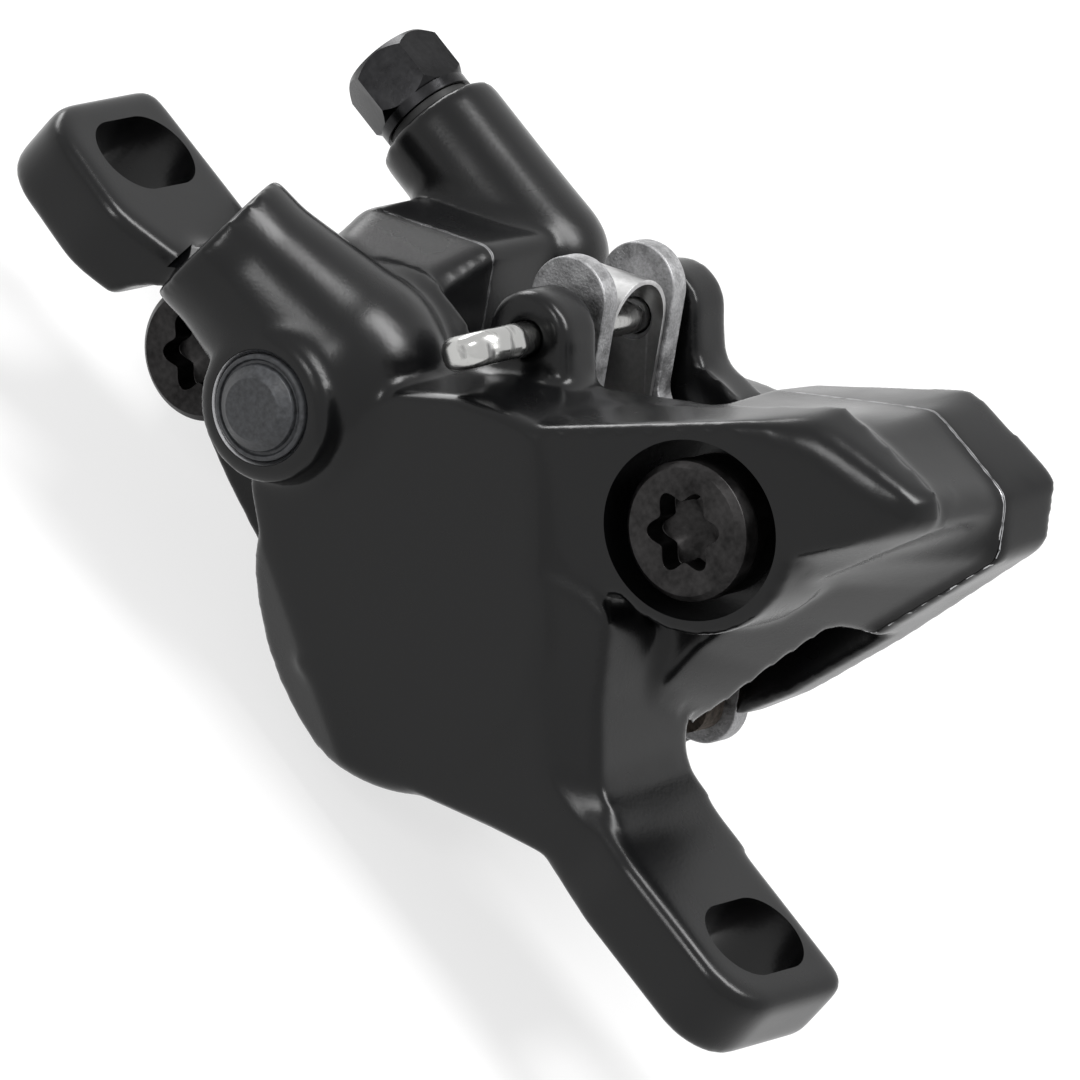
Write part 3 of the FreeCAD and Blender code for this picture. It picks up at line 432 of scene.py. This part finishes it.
# Body bolts: cold-headed steel with a six-lobed socket that ends in a cone, blackened with oxide.
# Each head sits on a milled seat, the lower one deep in its counterbore, and the shanks go through
# the split into the rear half.
BOLT_HEAD_RADIUS = 5.1 * MM
BOLT_HEAD_HEIGHT = 4.8 * MM
BOLT_FACE_RADIUS = BOLT_HEAD_RADIUS - 0.55 * MM
BOLT_GROOVE_RADIUS = BOLT_HEAD_RADIUS - 0.1 * MM
BOLT_SHANK_RADIUS = 3.0 * MM
SOCKET_MIDDLE_RADIUS = 2.62 * MM
SOCKET_LOBE = 0.44 * MM
SOCKET_TURN = math.radians(-12.0)
SOCKET_DEPTH = 1.9 * MM
SOCKET_CONE_RADIUS = 2.05 * MM
SOCKET_TIP_DEPTH = 3.2 * MM


def edge_break(piece, width, angle=30.0, segments=3):
    """Rounds the sharp edges of a piece a little, as tumbling or deburring does."""
    piece.data.shade_smooth()
    piece.data.set_sharp_from_angle(angle=math.radians(angle))
    rounding = piece.modifiers.new("edge break", "BEVEL")
    rounding.width = width
    rounding.segments = segments
    rounding.limit_method = "ANGLE"
    rounding.angle_limit = math.radians(angle)
    rounding.harden_normals = True
    keep_modified(piece)


def body_bolt(name, node):
    """Bolt along Y, built outwards and inwards from the rim of its socket."""
    low, high = (Vector(corner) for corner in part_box(node))
    form = bmesh.new()
    socket_rim = bmesh.ops.create_circle(form, segments=120, radius=1.0)["verts"]
    for corner in socket_rim:
        angle = math.atan2(corner.co.y, corner.co.x)
        reach = SOCKET_MIDDLE_RADIUS + SOCKET_LOBE * math.cos(6.0 * (angle - SOCKET_TURN))
        corner.co = Vector((math.cos(angle), math.sin(angle), 0.0)) * reach
    rim_edges = form.edges[:]

    def ring(edges, depth, radius=None, share=None):
        """Next ring, at a depth below the face, on a radius or at a share of the last ring."""
        made = bmesh.ops.extrude_edge_only(form, edges=edges)["geom"]
        for corner in (item for item in made if isinstance(item, bmesh.types.BMVert)):
            flat = Vector((corner.co.x, corner.co.y, 0.0))
            flat = flat.normalized() * radius if radius is not None else flat * share
            corner.co = Vector((flat.x, flat.y, -depth))
        return [item for item in made if isinstance(item, bmesh.types.BMEdge)]

    length = high.y - low.y
    wall = ring(rim_edges, SOCKET_DEPTH, share=0.97)
    cone = ring(wall, SOCKET_DEPTH + 0.05 * MM, radius=SOCKET_CONE_RADIUS)
    ring(cone, SOCKET_TIP_DEPTH, radius=0.0)
    flat_inner = ring(rim_edges, 0.0, share=1.1)
    flat_outer = ring(flat_inner, 0.0, radius=BOLT_HEAD_RADIUS - 0.9 * MM)
    face = ring(flat_outer, 0.0, radius=BOLT_FACE_RADIUS)
    bevel_low = ring(face, 0.5 * MM, radius=BOLT_HEAD_RADIUS - 0.06 * MM)
    side = ring(bevel_low, 1.9 * MM, radius=BOLT_HEAD_RADIUS)
    step = ring(side, 2.0 * MM, radius=BOLT_GROOVE_RADIUS)
    under = ring(step, BOLT_HEAD_HEIGHT, radius=BOLT_GROOVE_RADIUS)
    neck = ring(under, BOLT_HEAD_HEIGHT, radius=BOLT_SHANK_RADIUS)
    shank = ring(neck, length - 0.6 * MM, radius=BOLT_SHANK_RADIUS)
    end = ring(shank, length, radius=BOLT_SHANK_RADIUS - 0.6 * MM)
    bmesh.ops.holes_fill(form, edges=end, sides=0)
    bmesh.ops.remove_doubles(form, verts=form.verts, dist=0.0005 * MM)
    bmesh.ops.recalc_face_normals(form, faces=form.faces)
    foot = Vector(((low.x + high.x) / 2.0, low.y, (low.z + high.z) / 2.0))
    axes = Matrix(((1.0, 0.0, 0.0), (0.0, 0.0, -1.0), (0.0, 1.0, 0.0))).to_4x4()
    bmesh.ops.transform(form, matrix=Matrix.Translation(foot) @ axes, verts=form.verts)
    bolt = new_piece(name, form)
    edge_break(bolt, 0.13 * MM)
    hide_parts(node)
    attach(bolt, "caliper")
    return bolt


def tint_node(tree, factor, colour, spread):
    """Colour that varies by a share of itself to both sides."""
    node = tree.nodes.new("ShaderNodeMix")
    node.data_type = "RGBA"
    node.inputs["A"].default_value = [value * (1.0 - spread) for value in colour] + [1.0]
    node.inputs["B"].default_value = [value * (1.0 + spread) for value in colour] + [1.0]
    tree.links.new(factor, node.inputs["Factor"])
    return node.outputs["Result"]


def metal(name, colour, spread, roughness, patch_scale, grain_scale, strength, rubbed_edge_highlight=0.0):
    """Steel with uneven colour, a fine grain and, where asked, lighter edges: rubbed wear and a
    painted highlight on the rounded rims.
    """
    steel = bpy.data.materials.new(name)
    steel.use_nodes = True
    tree = steel.node_tree
    shader = tree.nodes["Principled BSDF"]
    shader.inputs["Metallic"].default_value = 1.0
    place = tree.nodes.new("ShaderNodeTexCoord")
    patches = noise_node(tree, place, patch_scale, 5.0)
    grain = noise_node(tree, place, grain_scale, 4.0)
    patch_share = math_node(tree, "MULTIPLY", patches, 0.6)
    grain_share = math_node(tree, "MULTIPLY", grain, 0.4)
    both = math_node(tree, "ADD", patch_share, grain_share)
    finish = tint_node(tree, ramp_node(tree, both, 0.35, 0.65, 0.0, 1.0), colour, spread)
    # Convex edges are painted lighter, partly rubbed wear and partly a painted highlight on their
    # rounding.
    if rubbed_edge_highlight > 0.0:
        shape = tree.nodes.new("ShaderNodeNewGeometry")
        tone_mix = tree.nodes.new("ShaderNodeMix")
        tone_mix.data_type = "RGBA"
        tone_mix.inputs["B"].default_value = (rubbed_edge_highlight, rubbed_edge_highlight, rubbed_edge_highlight, 1.0)
        on_edge = ramp_node(tree, shape.outputs["Pointiness"], 0.52, 0.62, 0.0, 1.0)
        tree.links.new(math_node(tree, "MULTIPLY", on_edge, grain), tone_mix.inputs["Factor"])
        tree.links.new(finish, tone_mix.inputs["A"])
        finish = tone_mix.outputs["Result"]
    tree.links.new(finish, shader.inputs["Base Color"])
    sheen = ramp_node(tree, patches, 0.3, 0.7, roughness * 0.8, roughness * 1.25)
    tree.links.new(sheen, shader.inputs["Roughness"])
    grain_bump(tree, grain, strength, 0.05 * MM)
    return steel


black_oxide = metal("black_oxide", (0.026, 0.025, 0.025), 0.5, 0.4, 420.0, 2200.0, 0.3)
for bolt_name, bolt_node in (("lower_bolt", "body_bolt_lower"), ("upper_bolt", "body_bolt_upper")):
    finish_with(black_oxide, body_bolt(bolt_name, bolt_node))

# Passage plug and rings: a moulded cap pressed over the cross drilling, with a flat button on a
# cone inside a thin lip. Rubber rings seal the cap, the drillings, the pistons and the bleed screw.
plug_profile = [
    (0.0, 0.0),
    (3.85 * MM, 0.0),
    (3.85 * MM, 1.05 * MM),
    (3.2 * MM, 1.05 * MM),
    (3.2 * MM, 2.15 * MM),
    (3.85 * MM, 2.15 * MM),
    (3.85 * MM, 2.55 * MM),
    (3.72 * MM, 2.7 * MM),
    (3.5 * MM, 2.7 * MM),
    (3.42 * MM, 2.45 * MM),
    (3.16 * MM, 2.45 * MM),
    (3.1 * MM, 2.95 * MM),
    (2.25 * MM, 3.62 * MM),
    (0.0, 3.64 * MM),
]
passage_cap = new_piece("passage_cap", turned_form(plug_profile, plug_foot, TOWARDS_FRONT))
edge_break(passage_cap, 0.07 * MM, angle=20.0)
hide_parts("passage_plug")
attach(passage_cap, "caliper")


def moulded(name, colour, spread, roughness, grain_scale, strength):
    """Moulded plastic, rubber or friction compound with a fine grain."""
    stuff = bpy.data.materials.new(name)
    stuff.use_nodes = True
    tree = stuff.node_tree
    shader = tree.nodes["Principled BSDF"]
    shader.inputs["Specular IOR Level"].default_value = 0.3
    place = tree.nodes.new("ShaderNodeTexCoord")
    grain = noise_node(tree, place, grain_scale, 5.0)
    finish = tint_node(tree, ramp_node(tree, grain, 0.3, 0.7, 0.0, 1.0), colour, spread)
    tree.links.new(finish, shader.inputs["Base Color"])
    sheen = ramp_node(tree, grain, 0.3, 0.7, roughness * 0.85, roughness * 1.15)
    tree.links.new(sheen, shader.inputs["Roughness"])
    grain_bump(tree, grain, strength, 0.06 * MM)
    return stuff


finish_with(moulded("plug_plastic", (0.050, 0.052, 0.056), 0.4, 0.36, 2600.0, 0.5), passage_cap)
seal_rubber = moulded("seal_rubber", (0.015, 0.015, 0.015), 0.2, 0.5, 1500.0, 0.2)
finish_with(seal_rubber, nodes["passage_plug_ring"], nodes["crossover_seal"], nodes["bleed_seal"])
finish_with(seal_rubber, nodes["piston_seal_front"], nodes["piston_seal_rear"])

# Pistons: two resin cups, moulded and then ground round, that slide in the cylinders through their
# seals. They are open towards the pads and press on the plates' backs.
piston_resin = moulded("piston_resin", (0.30, 0.27, 0.23), 0.15, 0.35, 700.0, 0.05)
finish_with(piston_resin, nodes["piston_front"], nodes["piston_rear"])

# Pads: stamped steel plates with round-topped tabs that hang on the pin, with a rough coating. A
# block of pressed friction compound is bonded to each plate.
plate_coat = metal("plate_coat", (0.30, 0.30, 0.305), 0.35, 0.52, 900.0, 5200.0, 0.8)
lining_compound = moulded("lining_compound", (0.11, 0.092, 0.078), 0.6, 0.85, 2400.0, 1.0)


def stamped_copy(name, node, body, edge, angle=45.0):
    """A packed stamping with flat faces made whole and its rims rounded by the tool."""
    piece = new_piece(name, merged_form(node))
    form = bmesh.new()
    form.from_mesh(piece.data)
    bmesh.ops.dissolve_limit(
        form,
        angle_limit=math.radians(1.0),
        use_dissolve_boundaries=False,
        verts=form.verts,
        edges=form.edges,
    )
    form.to_mesh(piece.data)
    form.free()
    edge_break(piece, edge, angle=angle)
    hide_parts(node)
    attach(piece, body)
    return piece


PLATE_RIM = 0.28 * MM
for end in ("front", "rear"):
    pad = "pad_" + end
    plate = stamped_copy(end + "_plate", pad + "_plate", end + "_pad", PLATE_RIM)
    finish_with(plate_coat, plate)
    finish_with(lining_compound, nodes[pad + "_lining"])

# Pad spring: a hardened steel strip folded over the pin, with a wing that presses on each plate and
# pushes the pads apart. It is squeezed as the pads close.
# Its edges are painted lighter, a painted highlight along the rounded rims besides rubbed wear.
spring_steel = metal("spring_steel", (0.42, 0.42, 0.42), 0.15, 0.34, 300.0, 2500.0, 0.15, 0.85)
spring = stamped_copy("return_spring", "pad_spring", "caliper", 0.08 * MM)
finish_with(spring_steel, spring)
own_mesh(spring)

# Pad pin: plated steel wire with an eye pressed flat at its end, pushed through the lugs and the
# pads' tabs. Its colour is streaked darker in slanting bands.
pin_plating = bpy.data.materials.new("pin_plating")
pin_plating.use_nodes = True
tree = pin_plating.node_tree
shader = tree.nodes["Principled BSDF"]
shader.inputs["Metallic"].default_value = 1.0
place = tree.nodes.new("ShaderNodeTexCoord")
slant = tree.nodes.new("ShaderNodeMapping")
slant.inputs["Rotation"].default_value = (0.5, 0.3, 0.9)
slant.inputs["Scale"].default_value = (0.35, 1.6, 0.5)
tree.links.new(place.outputs["Object"], slant.inputs["Vector"])
streaks = tree.nodes.new("ShaderNodeTexNoise")
streaks.inputs["Scale"].default_value = 700.0
streaks.inputs["Detail"].default_value = 4.0
tree.links.new(slant.outputs["Vector"], streaks.inputs["Vector"])
streak = streaks.outputs["Fac"]
tone_mix = tree.nodes.new("ShaderNodeMix")
tone_mix.data_type = "RGBA"
tone_mix.inputs["A"].default_value = (0.46, 0.46, 0.45, 1.0)
tone_mix.inputs["B"].default_value = (0.10, 0.10, 0.10, 1.0)
tree.links.new(ramp_node(tree, streak, 0.5, 0.62, 0.0, 1.0), tone_mix.inputs["Factor"])
tree.links.new(tone_mix.outputs["Result"], shader.inputs["Base Color"])
tree.links.new(ramp_node(tree, streak, 0.4, 0.7, 0.16, 0.4), shader.inputs["Roughness"])
finish_with(pin_plating, nodes["pad_pin"])

# Bleed screw: turned from hexagon steel bar and blackened, with chamfered corners and a round
# collar under the hexagon. It turns in its boss on a rubber seal.
satin_black = metal("satin_black", (0.022, 0.022, 0.023), 0.25, 0.28, 400.0, 2600.0, 0.12)
bleed_head = stamped_copy("bleed_head", "bleed_screw", "bleed", 0.12 * MM, 24.0)
finish_with(satin_black, bleed_head)

# Floor, background and light: a pale studio with a soft key at the upper right, a smaller light in
# front and a strip above and behind. The floor lies just under the brake and keeps its shadow.
FLOOR_Z = -11.8 * MM
FLOOR_GLOW = 0.7
floor_form = bmesh.new()
floor_place = Matrix.Translation((0.0, 0.0, FLOOR_Z))
bmesh.ops.create_grid(floor_form, x_segments=1, y_segments=1, size=3.0, matrix=floor_place)
studio_floor = new_piece("studio_floor", floor_form)
floor_white = bpy.data.materials.new("floor_white")
floor_white.use_nodes = True
floor_tree = floor_white.node_tree
floor_shader = floor_tree.nodes["Principled BSDF"]
floor_shader.inputs["Base Color"].default_value = (0.28, 0.28, 0.28, 1.0)
floor_shader.inputs["Roughness"].default_value = 0.9
floor_shader.inputs["Emission Color"].default_value = (1.0, 1.0, 1.0, 1.0)


def seen_rays(tree):
    """One for rays of the camera and for those reflected or let through, and zero for the rest."""
    rays = tree.nodes.new("ShaderNodeLightPath").outputs
    bounced = math_node(tree, "MAXIMUM", rays["Is Glossy Ray"], rays["Is Transmission Ray"])
    return math_node(tree, "MAXIMUM", rays["Is Camera Ray"], bounced)


glow = math_node(floor_tree, "MULTIPLY", seen_rays(floor_tree), FLOOR_GLOW)
floor_tree.links.new(glow, floor_shader.inputs["Emission Strength"])
finish_with(floor_white, studio_floor)

studio = bpy.data.worlds.new("studio")
studio.use_nodes = True
bpy.context.scene.world = studio
sky = studio.node_tree
WORLD_LIGHT = 0.35
sky_strength = ramp_node(sky, seen_rays(sky), 0.0, 1.0, WORLD_LIGHT, 1.0)
sky.links.new(sky_strength, sky.nodes["Background"].inputs["Strength"])
sky.nodes["Background"].inputs["Color"].default_value = (1.0, 1.0, 1.0, 1.0)

# Camera and lamps: the camera looks as the photograph does, and its axes also place the lamps.
CAMERA_RIGHT = Vector((0.58935, 0.56287, 0.57951))
CAMERA_UP = Vector((-0.75652, 0.13284, 0.64034))
CAMERA_BACK = Vector((0.28345, -0.81580, 0.50411))
CAMERA_AIM = Vector((0.00385, -0.00777, 0.01007))
CAMERA_DISTANCE = 1.2
LAMP_DISTANCE = 0.6
FRAME_WIDTH = 0.07714
SENSOR_WIDTH = 36.0


def softbox(name, right, up, back, width, height, turn, radiance):
    """Lamp of the studio, in a direction told by the camera's own axes, turned to the brake."""
    direction = (right * CAMERA_RIGHT + up * CAMERA_UP + back * CAMERA_BACK).normalized()
    lamp_data = bpy.data.lights.new(name, "AREA")
    lamp_data.shape = "RECTANGLE"
    lamp_data.size = width
    lamp_data.size_y = height
    lamp_data.energy = math.pi * width * height * radiance
    lamp = bpy.data.objects.new(name, lamp_data)
    lamp.location = CAMERA_AIM + LAMP_DISTANCE * direction
    aimed = (-direction).to_track_quat("-Z", "Y").to_matrix()
    lamp.rotation_euler = (aimed @ Matrix.Rotation(math.radians(turn), 3, "Z")).to_euler()
    bpy.context.scene.collection.objects.link(lamp)


softbox("key_light", 0.66, 0.63, 0.41, 0.45, 0.2, 30.5, 16.0)
softbox("front_light", -0.29, 0.35, 0.89, 0.1, 0.2, 0.0, 14.0)
softbox("back_light", -0.35, 0.85, -0.38, 0.4, 0.15, 0.0, 8.0)
camera_data = bpy.data.cameras.new("camera")
camera_data.sensor_width = SENSOR_WIDTH
camera_data.lens = SENSOR_WIDTH * CAMERA_DISTANCE / FRAME_WIDTH
camera_data.clip_start = 0.01
camera = bpy.data.objects.new("camera", camera_data)
camera_turn = Matrix((CAMERA_RIGHT, CAMERA_UP, CAMERA_BACK)).transposed().to_4x4()
camera.matrix_world = Matrix.Translation(CAMERA_AIM + CAMERA_BACK * CAMERA_DISTANCE) @ camera_turn
bpy.context.scene.collection.objects.link(camera)
bpy.context.scene.camera = camera
bpy.context.scene.view_settings.view_transform = "Standard"
